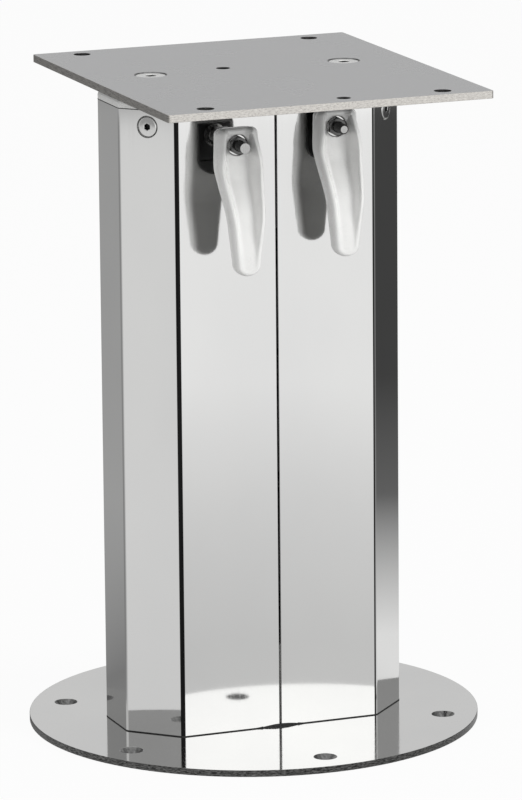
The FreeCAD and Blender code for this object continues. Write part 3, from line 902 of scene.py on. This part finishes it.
def plated(name, colour, roughness, painted_side_shade=None):
    """Bright plated or turned metal with micro scratches in its gloss.

    If asked, its threads and sides are darker than its ends: painted shade on the sides, with the
    ends left bright.
    """
    material, tree, shader, place_output = finish_material(name, colour, 1.0, roughness)
    scratch = grain(tree, place_output, (900.0, 900.0, 240.0), 3.0, 0.6)
    clouds = grain(tree, place_output, (120.0, 120.0, 120.0), 2.0, 0.5)
    gloss = patches(tree, scratch, roughness * 0.7, roughness * 1.4)
    rough = combine(tree, "ADD", gloss, patches(tree, clouds, 0.0, 0.05))
    tree.links.new(rough, shader.inputs["Roughness"])
    tone = tint(tree, patches(tree, clouds), darker(colour, 0.93), colour)
    if painted_side_shade:
        end = spread(tree, facing(tree, "Y"), 0.9, 0.97)
        sides = tint(tree, patches(tree, clouds), darker(painted_side_shade, 0.7), painted_side_shade)
        tone = between(tree, end, sides, tone, colour=True)
    tree.links.new(tone, shader.inputs["Base Color"])
    bump(tree, shader, scratch, 0.04, 0.1 * MM)
    return material


# Studio. Greys that the polished steel reflects, by bearing in degrees round the leg: 0 is the
# front and positive is to its right. Each is a grey level as the steel shows it.

STEEL_SHINE = 0.8
HIGH_GREYS = [(-180, 190), (-174, 190), (-168, 130), (-148, 130), (-138, 190), (-92, 190),
              (-84, 146), (-54, 146), (-44, 200), (0, 266), (44, 266), (60, 190), (94, 180),
              (101, 140), (122, 140), (130, 190), (180, 190)]
FAR_GREYS = [(-180, 148), (-150, 146), (-132, 122), (-108, 132), (-80, 203), (-40, 204), (0, 224),
             (40, 224), (70, 110), (94, 110), (101, 61), (126, 61), (136, 190), (180, 190)]
MID_GREYS = [(-180, 152), (-150, 150), (-132, 122), (-108, 132), (-80, 204), (-40, 204), (0, 203),
             (40, 205), (70, 130), (94, 112), (101, 92), (126, 92), (136, 190), (180, 190)]
NEAR_GREYS = [(-180, 144), (-150, 140), (-132, 116), (-108, 126), (-80, 200), (-40, 200), (0, 188),
              (40, 190), (70, 196), (94, 213), (126, 213), (136, 190), (180, 190)]
NEAR_END, MID_PLACE, FAR_START = 0.25, 0.62, 1.0


def grey(level):
    """Linear value of a grey level from 0 to 255."""
    share = level / 255.0
    return share / 12.92 if share <= 0.04045 else ((share + 0.055) / 1.055) ** 2.4


def bearing_ramp(tree, place_output, stops):
    """Grey by bearing round the leg, from a list of bearing and grey level."""
    mapping = tree.nodes.new("ShaderNodeMapping")
    mapping.inputs["Rotation"].default_value = (0.0, 0.0, math.pi / 2.0)
    gradient = tree.nodes.new("ShaderNodeTexGradient")
    gradient.gradient_type = "RADIAL"
    ramp = tree.nodes.new("ShaderNodeValToRGB")
    tree.links.new(place_output, mapping.inputs["Vector"])
    tree.links.new(mapping.outputs["Vector"], gradient.inputs["Vector"])
    tree.links.new(gradient.outputs["Fac"], ramp.inputs["Fac"])
    elements = ramp.color_ramp.elements
    while len(elements) < len(stops):
        elements.new(0.5)
    for element, (bearing, level) in zip(elements, stops):
        element.position = bearing / 360.0 + 0.5
        value = grey(level) / STEEL_SHINE
        element.color = (value, value, value, 1.0)
    return ramp.outputs["Color"]


def first_reflection(tree):
    """1 for what is seen in metal, and little for light that metal would throw onto plastic."""
    light_path = tree.nodes.new("ShaderNodeLightPath")
    return spread(tree, light_path.outputs["Diffuse Depth"], 0.0, 1.0, 1.0, 0.15)


def stage_object(name, points, faces, material):
    """Stage mesh in metres that isn't part of the leg."""
    mesh = bpy.data.meshes.new(name)
    mesh.from_pydata(points.reshape(-1, 3).tolist(), [], faces.tolist())
    mesh.materials.append(material)
    piece = bpy.data.objects.new(name, mesh)
    bpy.context.scene.collection.objects.link(piece)
    return piece


def stage_material(name):
    """Material with an empty output, its node tree and the object coordinates."""
    material = bpy.data.materials.new(name)
    material.use_nodes = True
    tree = material.node_tree
    tree.nodes.clear()
    output = tree.nodes.new("ShaderNodeOutputMaterial")
    coordinates = tree.nodes.new("ShaderNodeTexCoord").outputs["Object"]
    return material, tree, output.inputs["Surface"], coordinates


def reflected_light(tree, colour):
    """Emission of a colour that metal shows and plastic hardly gets."""
    light = tree.nodes.new("ShaderNodeEmission")
    tree.links.new(colour, light.inputs["Color"])
    tree.links.new(first_reflection(tree), light.inputs["Strength"])
    return light.outputs["Emission"]


def floor():
    """Pale floor: white with the leg's shadow, and greys by bearing and distance in metal."""
    half, paleness, evenness = 12.0, 0.9, 0.95
    material, tree, surface, coordinates = stage_material("pale_floor")
    light_path = tree.nodes.new("ShaderNodeLightPath")
    diffuse = tree.nodes.new("ShaderNodeBsdfDiffuse")
    diffuse.inputs["Color"].default_value = (paleness, paleness, paleness, 1.0)
    pale = diffuse.outputs["BSDF"]
    white = tree.nodes.new("ShaderNodeEmission")
    white.inputs["Strength"].default_value = 1.0
    seen = mixed_shaders(tree, evenness, pale, white.outputs["Emission"])
    to_camera = mixed_shaders(tree, light_path.outputs["Is Camera Ray"], pale, seen)
    distance = vector_length(tree, coordinates)
    near, mid, far = (bearing_ramp(tree, coordinates, greys)
                      for greys in (NEAR_GREYS, MID_GREYS, FAR_GREYS))
    inner_share = spread(tree, distance, NEAR_END, MID_PLACE)
    outer_share = spread(tree, distance, MID_PLACE, FAR_START)
    inner = between(tree, inner_share, near, mid, colour=True)
    whole = between(tree, outer_share, inner, far, colour=True)
    mirrored = reflected_light(tree, whole)
    both = mixed_shaders(tree, light_path.outputs["Is Glossy Ray"], to_camera, mirrored)
    tree.links.new(both, surface)
    corners = half * np.array([(-1, -1, 0), (1, -1, 0), (1, 1, 0), (-1, 1, 0)])
    stage_object("floor", corners, np.array([[0, 1, 2, 3]]), material)


def studio_ring():
    """Upright ring of grey cards round the leg, a circle by two heights, that only metal shows."""
    radius, low_edge, top = 1.0, 0.001, 1.6
    change_begin, change_end = 0.205, 0.23
    material, tree, surface, coordinates = stage_material("card_greys")
    upper = spread(tree, axes_of(tree, coordinates)["Z"], change_begin, change_end)
    low, high = (bearing_ramp(tree, coordinates, greys) for greys in (FAR_GREYS, HIGH_GREYS))
    tree.links.new(reflected_light(tree, between(tree, upper, low, high, colour=True)), surface)
    bearing = np.radians(np.linspace(-180.0, 180.0, 181))
    heights = np.array([low_edge, top])[:, None]
    circle = (radius * np.sin(bearing), -radius * np.cos(bearing))
    points = np.stack(np.broadcast_arrays(*circle, heights), -1)
    ring = stage_object("studio_ring", points, grid_faces(2, len(bearing)), material)
    ring.visible_camera = False
    ring.visible_diffuse = False
    ring.visible_shadow = False
    ring.visible_transmission = False


def surroundings():
    """World: white to the camera and in reflections, and a soft even light on the leg."""
    soft = 0.33
    world = bpy.data.worlds.new("studio")
    bpy.context.scene.world = world
    world.use_nodes = True
    tree = world.node_tree
    background = tree.nodes["Background"]
    background.inputs["Color"].default_value = (soft, soft, soft, 1.0)
    white = tree.nodes.new("ShaderNodeBackground")
    white.inputs["Color"].default_value = (1.0, 1.0, 1.0, 1.0)
    rays = tree.nodes.new("ShaderNodeLightPath").outputs
    mirrored = combine(tree, "MAXIMUM", rays["Is Glossy Ray"], rays["Is Transmission Ray"])
    mirrored = combine(tree, "MULTIPLY", mirrored, first_reflection(tree))
    share = combine(tree, "MAXIMUM", rays["Is Camera Ray"], mirrored)
    mix = mixed_shaders(tree, share, background.outputs["Background"], white.outputs["Background"])
    tree.links.new(mix, tree.nodes["World Output"].inputs["Surface"])


def aimed(thing, place_at, right, upward, forward):
    """Sets a lamp or camera at a place: it looks along its own -Z, with +X right and +Y up."""
    turn = np.eye(4)
    turn[:3, :3] = np.stack([right, upward, -forward], 1)
    turn[:3, 3] = place_at
    thing.matrix_world = Matrix(turn.tolist())
    bpy.context.scene.collection.objects.link(thing)


def soft_box(name, place_at, width, height, power):
    """Area lamp at a place, turned towards the leg's upper half, that reflections don't show."""
    aim = np.array([0.0, 0.0, 0.25])
    lamp = bpy.data.lights.new(name, "AREA")
    lamp.shape = "RECTANGLE"
    lamp.size = width
    lamp.size_y = height
    lamp.energy = power
    box = bpy.data.objects.new(name, lamp)
    forward = aim - np.array(place_at, float)
    forward /= np.linalg.norm(forward)
    right = np.cross(forward, (0.0, 0.0, 1.0))
    right /= np.linalg.norm(right)
    aimed(box, place_at, right, np.cross(right, forward), forward)
    box.visible_glossy = False


def photo_camera():
    """Camera fitted to the photograph: place, heading, tilt and roll, and a shift for framing."""
    yaw, pitch, roll = (math.radians(angle) for angle in (21.682, 12.767, 0.443))
    focal, width, height = 5990.592, 522.0, 800.0
    centre_x, centre_y = 291.968, 402.852
    sensor = 36.0
    forward = np.array([math.sin(yaw) * math.cos(pitch), math.cos(yaw) * math.cos(pitch),
                        -math.sin(pitch)])
    level = np.array([math.cos(yaw), -math.sin(yaw), 0.0])
    down = np.cross(forward, level)
    right = math.cos(roll) * level + math.sin(roll) * down
    below = -math.sin(roll) * level + math.cos(roll) * down
    lens = bpy.data.cameras.new("photo_camera")
    lens.sensor_fit = "AUTO"
    lens.sensor_width = sensor
    lens.lens = focal / height * sensor
    lens.shift_x = (width / 2.0 - centre_x) / height
    lens.shift_y = (centre_y - height / 2.0) / height
    lens.clip_end = 50.0
    camera = bpy.data.objects.new("photo_camera", lens)
    aimed(camera, np.array([-1264.207, -3246.121, 981.65]) * MM, right, -below, forward)
    bpy.context.scene.camera = camera


# The leg

column_steel = mirror_steel("column_steel", (900.0, 900.0, 5.0), 0.048, painted_bend_reflection=True)
disc_steel = mirror_steel("disc_steel", (700.0, 14.0, 700.0), 0.06, cut_edges_and_hole_shade=True)
plate_steel = satin_plate()
tube_steel = mirror_steel("tube_steel", (700.0, 700.0, 6.0), 0.16)
fastener_steel = plated("fastener_steel", (0.78, 0.78, 0.77), 0.13)
# painted shade: the lock nut is near black, standing in for the shade in the handle's recess
nut_shade_steel = plated("nut_shade_steel", (0.11, 0.11, 0.109), 0.2)
# painted shade: the stud, clamp screw and boss are dark, their sides and threads near black,
# standing in for the shade round the hub
stud_steel = plated("stud_steel", (0.42, 0.42, 0.415), 0.2, painted_side_shade=(0.06, 0.06, 0.059))
screw_steel = plated("screw_steel", (0.88, 0.88, 0.87), 0.2)
brass = plated("pad_brass", (0.78, 0.60, 0.30), 0.25)
handle_white = moulded_plastic("handle_white", (0.87, 0.87, 0.855), 0.26, 0.03, 0.4)
collar_white = moulded_plastic("collar_white", (0.86, 0.86, 0.845), 0.42, 0.06, 0.0)
# near-black strips at the column's joints and in the arch of its foot: painted shade
shadow_gap_black = moulded_plastic("shadow_gap_black", (0.012, 0.012, 0.012), 0.5, 0.08, 0.0)
# near-black cups in the screw sockets: painted shade
socket_shade_black = plated("socket_shade_black", (0.02, 0.02, 0.02), 0.4)
hub_black = moulded_plastic("hub_black", (0.018, 0.018, 0.019), 0.42, 0.08, 0.0)

dressed("base_plate", disc_steel, "polished_steel", 0.2)
dressed("outer_column", column_steel, "polished_steel", 0.3)
collar_piece(collar_white)
dressed("top_plate", plate_steel, "satin_steel", 0.25)
dressed("inner_column", tube_steel, "satin_steel", 0.2)
dressed("slide_shoe", collar_white, "guide_plastic", 0.3)
dressed("shoe_screws", fastener_steel, "polished_steel", 0.3)
for side in LEVERS:
    dressed("top_block_" + side, plate_steel, "satin_steel", 0.4)
    dressed("pressure_pad_" + side, brass, "pad_brass", 0.2)
    dressed("screw_boss_" + side, stud_steel, "polished_steel", 0.3)
    dressed("hub_" + side, hub_black, "hub_plastic", 0.5)
    dressed("lock_washer_" + side, fastener_steel, "polished_steel", 0.12)
    handle_piece(side, handle_white)
    clamp_screw_piece(side, stud_steel)
    lock_nut_piece(side, nut_shade_steel)
collar_screw_pieces(fastener_steel, socket_shade_black)
plate_screw_pieces(screw_steel, socket_shade_black)
shadow_gap_strip("foot_shadow_gap", 4.0, 4.6, 0.12, 1.35, shadow_gap_black)
shadow_gap_strip("collar_shadow_gap", 379.6, 380.15, 0.1, 0.0, shadow_gap_black)

photo_camera()
floor()
studio_ring()
surroundings()
soft_box("key", (2.2, -1.9, 1.2), 1.2, 1.4, 63.0)
soft_box("fill", (-2.3, -1.2, 1.2), 1.6, 1.6, 16.0)
bpy.context.scene.view_settings.view_transform = "Standard"
